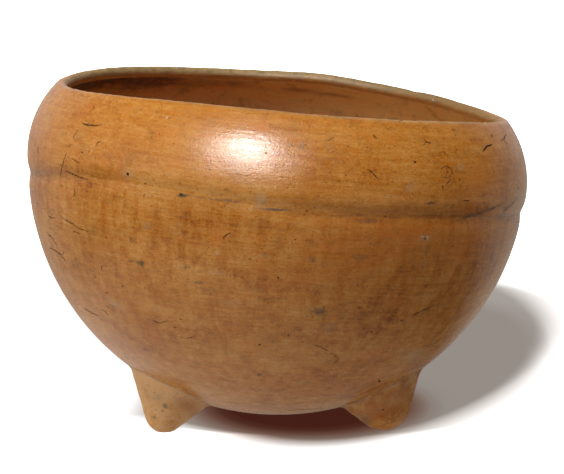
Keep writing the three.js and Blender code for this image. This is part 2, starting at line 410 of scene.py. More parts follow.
def shoulder_wall_shape():
    heading = headings_round(TURNS)
    seam = seam_at(heading)
    outer, inner = seam_angles(seam)
    outer_seat = belly_outside(heading, outer, seam)
    inner_seat = belly_inside(inner, inner)
    foot, inner_foot = outer_seat[..., 1], inner_seat[..., 1]
    top = lip_at(heading) - RIM_COIL_HEIGHT
    groove_end = foot + 2 * GROOVE_HALF_WIDTH
    outer_swell = wall_point(foot, 0)[..., 0] - outer_seat[..., 0]
    inner_swell = wall_point(inner_foot, SEAM_THICKNESS)[..., 0] - inner_seat[..., 0]
    heights = joined(spread(foot, groove_end, GROOVE_STEPS), spread(groove_end, top, WALL_STEPS)[:, 1:])
    section = wall_point(heights, 0)
    section[..., 0] -= outer_swell * soft_share(heights - foot, GROOVE_HALF_WIDTH)
    outside = hand_shaped(heading, section, ARC_CENTRE_RADIUS, SHAPING)
    share = shares_down(WALL_INSIDE_STEPS)
    heights = inner_foot + (top - SCARF_DROP - inner_foot) * share
    section = wall_point(heights, SEAM_THICKNESS + (NECK_THICKNESS - SEAM_THICKNESS) * share)
    section[..., 0] -= inner_swell * soft_share(heights - inner_foot, 2 * INNER_JOIN_HALF_WIDTH)
    inside = hand_shaped(heading, section, 0, INSIDE_SHAPING)
    shape = Shape(closed_section=True)
    shape.add(outside, sharp_start=True)
    shape.add(inside, sharp_start=True, inside=1.0)
    return shape


def lip_worn_away(heading):
    """How far the lip's edge is worn away at each heading."""
    worn = hand_relief(round_bowl(LIP_RADIUS, heading), LIP_NIBBLES)
    for middle, half_width, depth in LIP_CHIPS:
        worn += depth * soft_share(turned_from(heading, middle) * LIP_RADIUS, half_width)
    return worn


def rim_coil_shape():
    heading = headings_round(RIM_TURNS)
    lip = lip_at(heading)
    foot = lip - RIM_COIL_HEIGHT
    lip_radius = LIP_THICKNESS / 2
    mid_arc = SHOULDER_ARC_RADIUS - lip_radius
    lip_turn = np.arcsin((lip - lip_radius) / mid_arc)
    lip_centre = [ARC_CENTRE_RADIUS + mid_arc * np.cos(lip_turn), mid_arc * np.sin(lip_turn)]
    turn = spread(lip_turn, lip_turn + math.pi, LIP_STEPS)
    worn = lip_radius - lip_worn_away(heading) * soft_share(turn - LIP_WORN_AT, LIP_WORN_REACH)
    crest = np.stack([lip_centre[0] + worn * np.cos(turn), lip_centre[1] + worn * np.sin(turn)], axis=-1)
    outside = wall_point(spread(foot, crest[:, :1, 1], RIM_OUTSIDE_STEPS)[:, :-1], 0)
    share = shares_down(RIM_INSIDE_STEPS)[:, 1:]
    inner_foot = foot - SCARF_DROP
    heights = inner_foot + (crest[:, -1:, 1] - inner_foot) * share
    inside = wall_point(heights, NECK_THICKNESS + (LIP_THICKNESS - NECK_THICKNESS) * share)
    shape = Shape(closed_section=True)
    shape.add(hand_shaped(heading, outside, ARC_CENTRE_RADIUS, SHAPING), sharp_start=True)
    shape.add(hand_shaped(heading, crest, ARC_CENTRE_RADIUS, SHAPING))
    shape.add(hand_shaped(heading, inside, 0, INSIDE_SHAPING), inside=1.0)
    shape.sharp_rings.append(shape.count - 1)
    return shape


def foot_matrix(heading, tip_circle, tip_radius):
    """From a foot's frame, whose Z is its own axis, to the row frame, in millimetres."""
    place = Matrix.Rotation(heading, 4, "Z") @ Matrix.Translation((0, -tip_circle, tip_radius - FOOT_WEAR))
    return place @ Matrix.Rotation(-FOOT_SPLAY, 4, "X")


def outside_belly(points):
    """How far bowl-frame points stand outside the belly's hand-shaped skin."""
    radius = np.hypot(points[..., 0], points[..., 1])
    heading = np.arctan2(points[..., 0], -points[..., 1])
    true_skin = np.hypot(radius - oval_offset(heading, radius), points[..., 2]) - BELLY_RADIUS
    return true_skin + hand_relief(points, SHAPING)


def rise_to_belly(start, way, to_bowl):
    """How far each line goes from its start, outside the belly, until it meets the skin."""
    near = np.zeros(start.shape[:-1])
    far = np.full(start.shape[:-1], BELLY_RADIUS)
    for _ in range(HALVINGS):
        middle = (near + far) / 2
        out = outside_belly(moved(start + way * middle[..., None], to_bowl)) > 0
        near = np.where(out, middle, near)
        far = np.where(out, far, middle)
    return near


def laid_on_belly(points, to_bowl):
    """Foot-frame points moved along the belly's own radius until they lie on its skin."""
    for _ in range(BELLY_FITS):
        in_bowl = moved(points, to_bowl)
        in_bowl -= unit(in_bowl) * outside_belly(in_bowl)[..., None]
        points = moved(in_bowl, to_bowl.inverted())
    return points


def foot_shapes(heading_degrees, tip_circle, tip_radius, luting_reach, fullness):
    """The blunt cone up to the belly, and the soft clay smeared round its root."""
    matrix = foot_matrix(math.radians(heading_degrees), tip_circle, tip_radius)
    to_bowl = row_to_bowl @ matrix
    turn = headings_round(FOOT_TURNS)
    across = np.stack([np.cos(turn), np.sin(turn), 0 * turn], axis=-1)
    up = np.array([0.0, 0.0, 1.0])
    flank_out = across * math.cos(FOOT_FLANK_ANGLE) - up * math.sin(FOOT_FLANK_ANGLE)
    flank_up = across * math.sin(FOOT_FLANK_ANGLE) + up * math.cos(FOOT_FLANK_ANGLE)
    tangent = flank_out * tip_radius
    rise = rise_to_belly(tangent, flank_up, to_bowl)[..., None]

    ball = spread(np.full_like(turn, -TIP_ANGLE), np.full_like(turn, -FOOT_FLANK_ANGLE), FOOT_TIP_STEPS)
    ball = ball[..., None]
    ball_out = across * np.cos(ball) + up * np.sin(ball)
    climb = np.linspace(0, 1, FOOT_FLANK_STEPS + 1)[None, 1:, None]
    flank = tangent + flank_up * rise * climb
    corner = flank[:, -1:]
    middle = corner.mean(axis=0, keepdims=True)
    under_belly = middle + (corner - middle) * shares_down(UNDER_BELLY_STEPS, UNDER_BELLY_END)[:, 1:, None]
    under_belly = laid_on_belly(under_belly, to_bowl)

    skin = joined(ball_out * tip_radius, flank)
    skin_out = joined(ball_out, np.broadcast_to(flank_out, flank.shape))
    dents = hand_relief(skin + [heading_degrees, 0, 0], FOOT_SHAPING)
    to_root = (1 - climb[..., 0]) * rise[..., 0]
    fade = joined(np.ones(ball.shape[:2]), np.clip(to_root / ROOT_FADE, 0, 1))
    skin = skin - skin_out * ((dents - dents.mean()) * fade)[..., None]
    row = moved(skin, matrix)
    row[..., 2] = np.maximum(row[..., 2], 0.0)
    foot = Shape(closed_section=False)
    to_root = joined(np.full(ball.shape[:2], ROOT_SHADE_REACH), to_root)
    foot.add(row, root=np.clip(1 - to_root / ROOT_SHADE_REACH, 0, 1))
    foot.add(moved(under_belly, matrix), sharp_start=True)

    centre = moved(np.zeros(3), to_bowl.inverted())
    way_out = unit(corner - centre)
    along = unit(across - way_out * np.sum(way_out * across, axis=-1, keepdims=True))
    on_flank = corner - flank_up * luting_reach
    on_belly = laid_on_belly(corner + along * luting_reach, to_bowl)
    bend = corner + (flank_out + way_out) * luting_reach * fullness * 0.5
    step = np.linspace(0, 1, LUTING_STEPS + 1)[None, :, None]
    face = (1 - step) ** 2 * on_flank + 2 * step * (1 - step) * bend + step**2 * on_belly
    dents = hand_relief(face + [heading_degrees, 0, 0], LUTING_SHAPING)
    thick = (4 * step * (1 - step))[..., 0]
    face = face - unit(flank_out + way_out) * ((dents - dents.mean()) * thick)[..., None]
    luting = Shape(closed_section=True)
    belly_out = unit(on_belly - centre)
    hidden = joined(
        on_belly - belly_out * LUTING_BURIED,
        corner - (way_out + flank_out) * LUTING_BURIED,
        on_flank - flank_out * LUTING_BURIED,
    )
    # Painted shade along the crease where the luting clay meets the belly; all of the luting clay counts as its
    # foot's root, which is darkened as painted shade.
    crease = soft_share(step[..., 0] - 1, CREASE_SHARE)
    luting.add(moved(face, matrix), sharp_start=True, root=1.0, crease=crease)
    luting.add(moved(hidden, matrix), sharp_start=True)
    return foot, luting


def put(name, mesh, node=None, slot=None):
    piece = bpy.data.objects.new(name, mesh)
    bpy.context.collection.objects.link(piece)
    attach(piece, "root")
    if node:
        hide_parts(node)
    return piece


shapes = {
    "lower_bowl": (lower_bowl_shape(), bowl_to_row, "burnished_clay"),
    "shoulder_wall": (shoulder_wall_shape(), bowl_to_row, "wall_clay"),
    "rim_coil": (rim_coil_shape(), bowl_to_row, "worn_lip_clay"),
}
for side, sizes in FEET.items():
    foot, luting = foot_shapes(*sizes)
    shapes[f"foot_{side}"] = (foot, Matrix(), "foot_clay")
    shapes[f"luting_coil_{side}"] = (luting, Matrix(), "luting_clay")

pieces = {}
for node, (shape, matrix, slot) in shapes.items():
    mesh = shape.mesh(node, matrix)
    pieces[node] = put(f"{node}_clay", mesh, node, slot)


# Where things are on the finished skin: a place is found along a line, often the line of
# sight through a pixel of the photograph, and gets its way out, its right and its up.
def mesh_points(mesh):
    points = np.empty(len(mesh.vertices) * 3)
    mesh.vertices.foreach_get("co", points)
    return points.reshape(-1, 3) / METRES


def skin_tree():
    points, faces = [], []
    for piece in pieces.values():
        faces += [[index + len(points) for index in face.vertices] for face in piece.data.polygons]
        points += mesh_points(piece.data).tolist()
    return BVHTree.FromPolygons(points, faces)


SKIN = skin_tree()


def sight(x, y):
    way = Vector((x - FRAME_WIDTH / 2, FRAME_HEIGHT / 2 - y, -FOCAL_PIXELS))
    way.rotate(CAMERA_TURN)
    return way.normalized()


def seen_at(x, y):
    """The point of the skin that the photograph shows at a pixel, and the way out of the clay there."""
    place, way_out, _, _ = SKIN.ray_cast(CAMERA_PLACE / METRES, sight(x, y))
    return place, way_out


def at_heading(heading_degrees, height):
    """The point of the outer skin at a heading and a height above the floor, and the way out there."""
    heading = math.radians(heading_degrees)
    level = Vector((0, 0, height))
    way = Vector((math.sin(heading), -math.cos(heading), 0))
    place, way_out, _, _ = SKIN.ray_cast(level + way * BELLY_RADIUS * 2, -way)
    return place, way_out


class Mark:
    """A soft oval patch on the skin round a place: half sizes in millimetres, tilt in degrees."""

    def __init__(self, place, way_out, half_wide, half_high, tilt, strength):
        across = Vector((0, 0, 1)).cross(way_out).normalized()
        up = way_out.cross(across)
        turn = Matrix.Rotation(math.radians(tilt), 3, way_out)
        self.place, self.across, self.up, self.way_out = place, turn @ across, turn @ up, way_out
        self.half_wide, self.half_high, self.strength = half_wide, half_high, strength

    def on(self, points):
        offset = points - np.array(self.place)
        across, up, out = (offset @ np.array(way) for way in (self.across, self.up, self.way_out))
        share = (across / self.half_wide) ** 2 + (up / self.half_high) ** 2 + (out / MARK_DEPTH) ** 4
        return self.strength * np.exp(-share)


# How deep a mark goes into the clay, the millimetres in a pixel, and how far a mark is
# stretched at most where the skin turns away.
MARK_DEPTH = 30
PIXEL = 0.406
LEAST_FACING = 0.35


def seen_mark(x, y, half_wide, half_high, tilt, strength):
    """A mark from its place, half sizes in pixels and tilt as the photograph shows them."""
    place, way_out = seen_at(x, y)
    sideways = max(math.hypot(way_out.y, way_out.z), LEAST_FACING)
    upright = max(math.hypot(way_out.x, way_out.y), LEAST_FACING)
    return Mark(place, way_out, half_wide * PIXEL / sideways, half_high * PIXEL / upright, tilt, strength)


def summed(marks, points):
    total = np.zeros(len(points))
    for mark in marks:
        total += mark.on(points)
    return total


# Marks by the photograph's pixels: x, y, half width, half height, tilt, strength.
# Broad brown patina, where the fire and long handling turned the clay dark, with painted shade
# towards the right edge and the lower right. It is paler where the strength is below nought, and
# there it is painted light that lifts the shading along the shoulder and on the belly.
PATINA_AND_PAINTED_SHADING = [
    (430, 240, 48, 30, 12, 0.12), (462, 268, 26, 44, 30, 0.35), (492, 252, 10, 30, 10, 0.4),
    (380, 236, 80, 30, 8, -0.18), (265, 358, 46, 14, 0, -0.2), (415, 354, 24, 13, -20, -0.4),
    (400, 222, 60, 7, 0, 0.12), (480, 212, 30, 9, 8, 0.4), (300, 262, 60, 38, 0, 0.08),
    (88, 238, 34, 22, -10, -0.16), (190, 207, 50, 10, -4, -0.16), (385, 308, 62, 26, 20, 0.3),
    (250, 190, 85, 15, -3, -0.34), (165, 184, 60, 12, -4, -0.34), (340, 212, 90, 12, -2, -0.2),
    (505, 170, 14, 40, 0, 0.25), (245, 222, 50, 14, -4, 0.12), (40, 178, 12, 30, 0, 0.3),
    (300, 395, 70, 16, 0, 0.1),
]
# Small brown and olive smudges, smears along the shoulder groove, and painted shade on the
# inner flanks of the left and right feet.
SMUDGES_AND_PAINTED_SHADE = [
    (124, 211, 11, 1.6, -5, 0.55), (131, 239.5, 3, 3.5, 0, 0.5), (131, 261, 4, 2, 0, 0.55),
    (141, 263, 5, 3, -20, 0.75), (160.6, 253, 3, 4, 0, 0.35), (186, 267, 5, 3.5, 0, 0.5),
    (198, 282.4, 8, 3.5, 0, 0.45), (182, 195.6, 4, 1.8, 0, 1.0), (203, 198, 15, 2.2, -6, 0.36),
    (230, 201, 15, 2, -6, 0.5), (273, 209.5, 17, 1.4, -3, 0.75), (350, 215.4, 24, 1.4, 0, 0.5),
    (368, 221, 18, 3.2, -2, 0.55), (265, 255, 4, 9, 0, 0.45), (325, 234, 3, 6, 0, 0.4),
    (312, 259, 5, 6, 0, 0.45), (316, 275.7, 5, 2, 0, 0.35), (361, 257, 12, 7, 0, 0.4),
    (362, 275.7, 6, 3, 0, 0.35), (320, 311, 18, 6, 0, 0.5), (403, 262, 2.2, 20, -4, 0.35),
    (413, 262, 2, 22, -4, 0.35), (424, 262, 2.6, 22, -4, 0.45), (433, 262, 2, 20, -4, 0.3),
    (432, 203, 9, 2.4, 0, 0.6), (412, 204, 6, 2, 0, 0.35), (330, 150, 10, 12, 0, 0.3),
    (302, 146, 4, 9, 0, 0.35), (338, 112, 5, 8, 0, 0.25), (259.6, 374.8, 3.5, 2.2, 0, 0.8),
    (208, 242, 3, 1, 0, 0.4), (480, 213, 30, 2.2, 7, 0.7), (510, 206, 12, 2, 18, 0.6),
    (60, 181, 26, 2, -12, 0.3), (364, 420, 9, 6, 30, 0.75), (196, 414, 10, 4, -30, 0.55),
]
# Warm orange patches, where the slip was thin.
BLUSH = [
    (217, 238, 8, 5, 10, 0.9), (334.6, 317, 4, 6, 0, 0.4), (480, 176, 16, 14, 0, 0.5),
    (415, 232, 26, 5, 0, 0.5), (380, 242, 76, 36, 8, 0.6), (470, 240, 20, 24, 20, 0.5),
    (186, 403, 12, 8, -20, 0.85), (370, 412, 18, 9, 20, 1.0), (402, 392, 10, 12, 0, 0.5),
    (194, 408, 9, 8, -30, 0.6), (390, 415, 20, 14, 0, 0.3), (330, 385, 60, 10, 0, 0.25),
]
# Pale chalky places, and a painted sheen on the belly above the right foot.
CHALK_AND_PAINTED_SHEEN = [
    (261, 200, 4, 6, 0, 0.75), (115, 304, 9, 2.2, -30, 0.8), (410.8, 187.6, 5, 4, 0, 0.5),
    (460.6, 167.1, 3, 3, 0, 0.6), (519.2, 197.8, 4, 10, 0, 0.6), (127.8, 173.9, 5, 4.5, 0, 0.5),
    (216, 272.5, 9, 1, -12, 0.6), (231, 302.5, 9, 1, -6, 0.5), (216.8, 253, 1.6, 1.6, 0, 0.7),
    (424.8, 238, 4, 3, 0, 0.6), (330, 328, 5, 4, 0, 0.4), (414, 357, 18, 8, -25, 0.4),
    (147, 226, 4, 3, 0, 0.4), (165, 406, 2, 2.6, 0, 1.0), (158, 397, 5, 6, 20, 0.35),
    (146, 392, 3, 7, 15, 0.3), (162.5, 411, 1.2, 1, 0, 0.9), (154.4, 417.4, 2.4, 1.4, 0, 0.7),
]
# The same on the sides that the photograph doesn't show: heading, height, half sizes, tilt, strength.
UNSEEN_PATINA = [
    (120, 70, 26, 30, 20, 0.45), (172, 96, 40, 14, 0, 0.4), (205, 60, 30, 24, -15, 0.4),
    (-115, 84, 24, 30, 0, 0.35), (160, 122, 20, 10, 0, 0.3), (-150, 110, 28, 12, 5, 0.3),
]
UNSEEN_SMUDGES = [
    (132, 101, 9, 1.6, 3, 0.6), (156, 99, 12, 1.4, 0, 0.5), (196, 98, 10, 1.8, -4, 0.6),
    (-128, 103, 12, 1.5, 0, 0.5), (150, 66, 5, 9, 0, 0.4), (188, 74, 4, 10, 0, 0.4),
    (-140, 62, 6, 5, 0, 0.4), (110, 118, 3, 4, 0, 0.4), (-108, 52, 7, 3, 0, 0.4), (170, 45, 9, 3, 0, 0.4),
]
UNSEEN_CHALK = [
    (125, 56, 5, 1.4, 20, 0.6), (175, 116, 3, 2.4, 0, 0.5), (-135, 92, 3.5, 2.6, 0, 0.5),
    (200, 38, 6, 1.2, -10, 0.5),
]


def unseen_mark(heading, height, half_wide, half_high, tilt, strength):
    return Mark(*at_heading(heading, height), half_wide, half_high, tilt, strength)


STAINS_AND_PAINTED_SHADING = {
    "patina": [seen_mark(*mark) for mark in PATINA_AND_PAINTED_SHADING] + [unseen_mark(*mark) for mark in UNSEEN_PATINA],
    "smudge": [seen_mark(*mark) for mark in SMUDGES_AND_PAINTED_SHADE] + [unseen_mark(*mark) for mark in UNSEEN_SMUDGES],
    "blush": [seen_mark(*mark) for mark in BLUSH],
    "chalk": [seen_mark(*mark) for mark in CHALK_AND_PAINTED_SHEEN] + [unseen_mark(*mark) for mark in UNSEEN_CHALK],
}
# Painted shade on the inside, by the photograph's pixels: over the left of the inside and along the
# top of the inside below the back lip.
PAINTED_INSIDE_SHADE = [
    (84, 80, 46, 15, 3, 2.6), (150, 84, 60, 9, 5, 0.5), (232, 84, 26, 4, -4, 0.35),
    (300, 90, 16, 2.4, -6, 0.5), (336, 95, 20, 2, -8, 0.45), (368, 89, 16, 2, -8, 0.4),
]
# How far the groove's grime spreads, how far up the belly's smears reach, how far down the
# inside is tan, how far the lip is worn on each side, how much of it the outer side and the
# front are spared, the heading where the lip is olive, and the painted shade band inside under the lip.
GRIME_REACH = 2.0
SMEARS_UP_TO = 9
SMEARS_FADE = 14
TAN_DOWN_TO = 26
TAN_FADE = 24
LIP_INNER_WEAR = 4.8
LIP_OUTER_WEAR = 2.6
LIP_OUTER_FROM = 0.1
LIP_OUTER_TO = 0.8
LIP_OUTER_SPARED = 0.85
LIP_FRONT_SPARED = 0.6
LIP_RIGHT = 125
LIP_RIGHT_REACH = 42
UNDER_LIP_DROP = 8
UNDER_LIP_REACH = 2.5


WALL_NODES = ("lower_bowl", "shoulder_wall", "rim_coil")


def stain(node, piece):
    """Writes on a mesh how much of every stain and painted shade each point holds, and its place on the wall.
    """
    mesh = piece.data
    points = mesh_points(mesh)
    in_bowl = moved(points, row_to_bowl)
    heading = np.arctan2(in_bowl[:, 0], -in_bowl[:, 1])
    inside = np.zeros(len(points), dtype=np.float32)
    if "inside" in mesh.attributes:
        mesh.attributes["inside"].data.foreach_get("value", inside)
    values = {key: summed(marks, points) * (1 - inside) for key, marks in STAINS_AND_PAINTED_SHADING.items()}
    values["soot"] = summed([seen_mark(*mark) for mark in PAINTED_INSIDE_SHADE], points) * inside
    if node in WALL_NODES:
        from_seam = in_bowl[:, 2] - seam_at(heading)
        values["grime"] = soft_share(from_seam, GRIME_REACH) * groove_left(heading) * (1 - inside)
        values["belly"] = np.clip((SMEARS_UP_TO - from_seam) / SMEARS_FADE, 0, 1) * (1 - inside)
        below_lip = lip_at(heading) - in_bowl[:, 2]
        radius = np.hypot(in_bowl[:, 0], in_bowl[:, 1])
        outer_side = (radius - oval_offset(heading, radius) - LIP_RADIUS) * 2 / LIP_THICKNESS
        outer = np.clip((outer_side - LIP_OUTER_FROM) / (LIP_OUTER_TO - LIP_OUTER_FROM), 0, 1)
        front = (0.5 + 0.5 * np.cos(heading)) ** 2
        worn = (1 - LIP_OUTER_SPARED * outer) * (1 - LIP_FRONT_SPARED * front)
        reach = np.where(outer_side < 0, LIP_INNER_WEAR, LIP_OUTER_WEAR)
        values["lip_right"] = near_heading(heading, LIP_RIGHT, LIP_RIGHT_REACH)
        values["wear"] = soft_share(np.maximum(below_lip, 0), reach) * worn
        values["deep"] = np.clip((below_lip - TAN_DOWN_TO) / TAN_FADE, 0, 1) * inside
        # Painted shade in a band inside under the lip, less of it on the right.
        values["under_lip"] = soft_share(below_lip - UNDER_LIP_DROP, UNDER_LIP_REACH) * inside
        values["under_lip"] *= 1 - values["lip_right"]
    hold_values(mesh, values)


for node, piece in pieces.items():
    stain(node, piece)


class Amount:
    """A socket's number, which can be added, taken away, multiplied and divided."""

    def __init__(self, recipe, socket):
        self.recipe = recipe
        self.socket = socket

    def with_other(self, operation, first, second):
        return self.recipe.node("Math", {"operation": operation}, {0: first, 1: second})

    def __add__(self, other):
        return self.with_other("ADD", self, other)

    def __sub__(self, other):
        return self.with_other("SUBTRACT", self, other)

    def __rsub__(self, other):
        return self.with_other("SUBTRACT", other, self)

    def __mul__(self, other):
        return self.with_other("MULTIPLY", self, other)

    def __truediv__(self, other):
        return self.with_other("DIVIDE", self, other)

    def __pow__(self, other):
        return self.with_other("POWER", self, other)

    __radd__ = __add__
    __rmul__ = __mul__

    def clamped(self, low=0.0, high=1.0):
        return self.recipe.node("Clamp", {}, {"Value": self, "Min": low, "Max": high})

    def between(self, low, high):
        """0 below low, 1 above high, and an even slope from one to the other."""
        return self.recipe.node("MapRange", {}, {"Value": self, "From Min": low, "From Max": high})


class Recipe:
    """A material's nodes. Sums of Amounts add Math nodes; any other node comes from node()."""

    def __init__(self, name, shader="BsdfPrincipled", fixed=None, world=False):
        self.material = (bpy.data.worlds if world else bpy.data.materials).new(name)
        self.material.use_nodes = True
        self.tree = self.material.node_tree
        self.tree.nodes.clear()
        out = self.tree.nodes.new("ShaderNodeOutputWorld" if world else "ShaderNodeOutputMaterial")
        self.shader = self.tree.nodes.new("ShaderNode" + shader)
        self.tree.links.new(self.shader.outputs[0], out.inputs["Surface"])
        for socket, value in (fixed or {}).items():
            self.shader.inputs[socket].default_value = value
        self.place = None

    def feed(self, socket, value):
        if isinstance(value, Amount):
            self.tree.links.new(value.socket, socket)
        elif hasattr(socket.default_value, "__len__") and len(socket.default_value) == 4:
            socket.default_value = (*value, 1)
        else:
            socket.default_value = value

    def node(self, kind, settings, inputs, output=0):
        made = self.tree.nodes.new("ShaderNode" + kind)
        for name, value in settings.items():
            if name == "stops":
                ramp = made.color_ramp.elements
                while len(ramp) < len(value):
                    ramp.new(1)
                for stop, (position, colour) in zip(ramp, value):
                    stop.position = position
                    stop.color = (*colour, 1)
            else:
                setattr(made, name, value)
        for name, value in inputs.items():
            self.feed(made.inputs[name], value)
        return Amount(self, made.outputs[output])

    def grain(self, sizes, detail=2.0, roughness=0.55):
        """Noise from 0 to 1 whose features are so many millimetres long on the bowl's own axes."""
        if self.place is None:
            self.place = self.node("TexCoord", {}, {}, "Object")
        turned = self.node(
            "Mapping",
            {"vector_type": "TEXTURE"},
            {
                "Vector": self.place,
                "Location": (0, 0, BELLY_CENTRE_HEIGHT * METRES),
                "Rotation": (0, LEAN, 0),
                "Scale": tuple(size * METRES for size in sizes),
            },
        )
        inputs = {"Vector": turned, "Scale": 1.0, "Detail": detail, "Roughness": roughness}
        return self.node("TexNoise", {}, inputs)

    def shares(self, *names):
        """The values that the mesh holds under some names."""
        return [self.node("Attribute", {"attribute_name": name}, {}, "Fac") for name in names]

    def along(self, output, axis):
        """One axis of the place or way that a texture coordinate gives."""
        return self.node("SeparateXYZ", {}, {0: self.node("TexCoord", {}, {}, output)}, axis)

    def mix(self, factor, under, over, how="MIX"):
        return self.node("Mix", {"data_type": "RGBA", "blend_type": how}, {0: factor, 6: under, 7: over}, 2)

    def stained(self, clay, *stains):
        """The clay under one stain or painted shade after another, each an amount and its tint."""
        for amount, tint in stains:
            clay = self.mix(amount, clay, tint)
        return clay

    def relief(self, height):
        """A skin raised by so many millimetres."""
        return self.node("Bump", {}, {"Strength": 1.0, "Distance": METRES, "Height": height})

    def finish(self, **inputs):
        for name, value in inputs.items():
            self.feed(self.shader.inputs[name.replace("_", " ").title()], value)
        return self.material


def swings(*grains):
    """The sum of grains that swing about nought, each an Amount from 0 to 1 and its strength."""
    return sum((grain - 0.5) * strength for grain, strength in grains)


# Clay tints, from pale tan through orange and brown to umber, as a stain or painted shade gets deeper.
CLAY_STOPS = [
    (0.0, (0.67, 0.31, 0.075)),
    (0.25, (0.575, 0.224, 0.032)),
    (0.5, (0.475, 0.152, 0.01)),
    (0.75, (0.33, 0.084, 0.005)),
    (1.0, (0.13, 0.032, 0.003)),
]
OLIVE_SMUDGE_AND_SHADE = (0.13, 0.07, 0.022)
GROOVE_GRIME_AND_CREASE_SHADE = (0.09, 0.035, 0.016)
BLUSH_ORANGE = (0.62, 0.165, 0.012)
PALE_CHALK_AND_SHEEN = (0.5, 0.36, 0.22)
WORN_LIP = (0.38, 0.275, 0.115)
LIP_OLIVE = (0.2, 0.13, 0.05)
LIP_DUST = (0.19, 0.15, 0.065)
FOOT_DUST = (0.84, 0.5, 0.24)
FOOT_BLUSH = (0.42, 0.11, 0.014)
GREY_SPECK = (0.16, 0.13, 0.09)
INSIDE_TAN = (0.7, 0.46, 0.14)
INSIDE_SHADE_TINT = (0.055, 0.003, 0.001)
DARK_PORE = (0.07, 0.03, 0.012)


def burnished_skin(name):
    """The wall's skin: clouded, mottled and smeared burnished clay, worn pale on the lip, with painted shade
    and light in some marks.
    """
    recipe = Recipe(name, fixed={"IOR": 1.5, "Specular IOR Level": 0.5})
    clouds = recipe.grain((26, 26, 15), detail=3)
    mottle = recipe.grain((6, 6, 4), detail=5, roughness=0.7)
    fine = recipe.grain((1.9, 1.9, 1.3), detail=3, roughness=0.65)
    grit = recipe.grain((0.7, 0.7, 0.5), detail=1)
    smear = recipe.grain((4, 4, 26), detail=5, roughness=0.68).between(0.42, 0.62)
    rubbed = recipe.grain((22, 22, 1.5), detail=4, roughness=0.65)
    hair = recipe.grain((7, 7, 0.6), detail=2)
    strokes = recipe.grain((15, 15, 1.8), detail=5, roughness=0.7).between(0.38, 0.62)
    scuffs = recipe.grain((20, 20, 0.8), detail=3).between(0.6, 0.74)
    spots = recipe.grain((2.6, 2.6, 2.6), detail=5, roughness=0.75).between(0.5, 0.68)
    dabs = recipe.grain((2.2, 2.2, 2.6), detail=5, roughness=0.75)
    dents = recipe.grain((34, 34, 5), detail=2)
    olive = recipe.grain((8, 8, 6), detail=6, roughness=0.75).between(0.54, 0.66)
    warm = recipe.grain((9, 9, 7), detail=5, roughness=0.7).between(0.54, 0.68)
    chalky = recipe.grain((0.8, 0.8, 0.6), detail=1).between(0.5, 0.75)
    pores = recipe.grain((0.75, 0.75, 0.75), detail=0).between(0.72, 0.78)
    dusty = recipe.grain((4, 4, 2), detail=5, roughness=0.7).between(0.46, 0.62)
    patina, smudge, blush, chalk, grime = recipe.shares("patina", "smudge", "blush", "chalk", "grime")
    belly, inside, deep, soot = recipe.shares("belly", "inside", "deep", "soot")
    wear, under_lip, lip_right = recipe.shares("wear", "under_lip", "lip_right")

    # The depth holds painted shade too: from some patina marks, inside on the left and under the lip.
    depth = 0.34 + patina * 0.42 + under_lip * 0.25 + soot * (0.2 + mottle * 0.5) - scuffs * 0.12
    depth += swings((clouds, 0.5), (mottle, 0.55), (fine, 0.55), (grit, 0.6), (rubbed, 0.6), (hair, 0.35))
    depth += (smear - 0.45) * (0.05 + belly * 0.22 + patina * 0.4)
    depth += inside * (swings((mottle, 0.9), (strokes, 0.95)) - 0.17 + deep * 0.25)
    depth += spots * clouds.between(0.35, 0.65) * 0.26
    tan = inside * (mottle * 0.9 + strokes * 0.6 - 0.2).clamped(0.1, 0.85)
    smudged = smudge * 1.3 + (dabs - 0.5) * 1.7 * smudge.between(0.02, 0.3) + (rubbed - 0.5) * 0.5 * smudge
    smudged = smudged.between(0.28, 0.8)
    worn = (wear * (1.5 + swings((mottle, 1.4), (fine, 0.8))) - 0.3).clamped() * (1 - soot * 0.8).clamped()
    clay = recipe.stained(
        recipe.node("ValToRGB", {"stops": CLAY_STOPS}, {"Fac": depth}),
        (tan * (1 - soot - deep * 0.75).clamped(), INSIDE_TAN),
        (smudged, OLIVE_SMUDGE_AND_SHADE),
        ((blush * (mottle + 0.3)).clamped(0, 0.8), BLUSH_ORANGE),
        ((grime * (rubbed * 0.7 + mottle * 0.7 - 0.45)).clamped(0, 0.6), GROOVE_GRIME_AND_CREASE_SHADE),
        ((soot * (mottle * 1.4)).clamped(), INSIDE_SHADE_TINT),
        ((chalk * (fine * 1.1 + mottle * 0.5 - 0.1)).clamped(0, 0.85), PALE_CHALK_AND_SHEEN),
        (olive * (0.3 + inside * 0.2), OLIVE_SMUDGE_AND_SHADE),
        (warm * 0.4 * (1 - inside), BLUSH_ORANGE),
        (chalky * 0.16, PALE_CHALK_AND_SHEEN),
        (pores * (mottle * 1.6 - 0.3).clamped() * (1 - inside * 0.7), DARK_PORE),
        (worn * 0.85, recipe.stained(WORN_LIP, (lip_right, LIP_OLIVE), (dusty, LIP_DUST))),
    )

    rough = 0.28 + swings((mottle, 0.14), (fine, 0.16), (rubbed, -0.16))
    rough = (rough + smudged * 0.15 + worn * 0.35 + inside * 0.3).clamped(0.2, 0.9)
    height = rubbed * 0.05 + hair * 0.035 + fine * 0.085 + grit * 0.045 + dents * 0.16 + mottle * 0.05
    return recipe.finish(base_color=clay, roughness=rough, normal=recipe.relief(height))


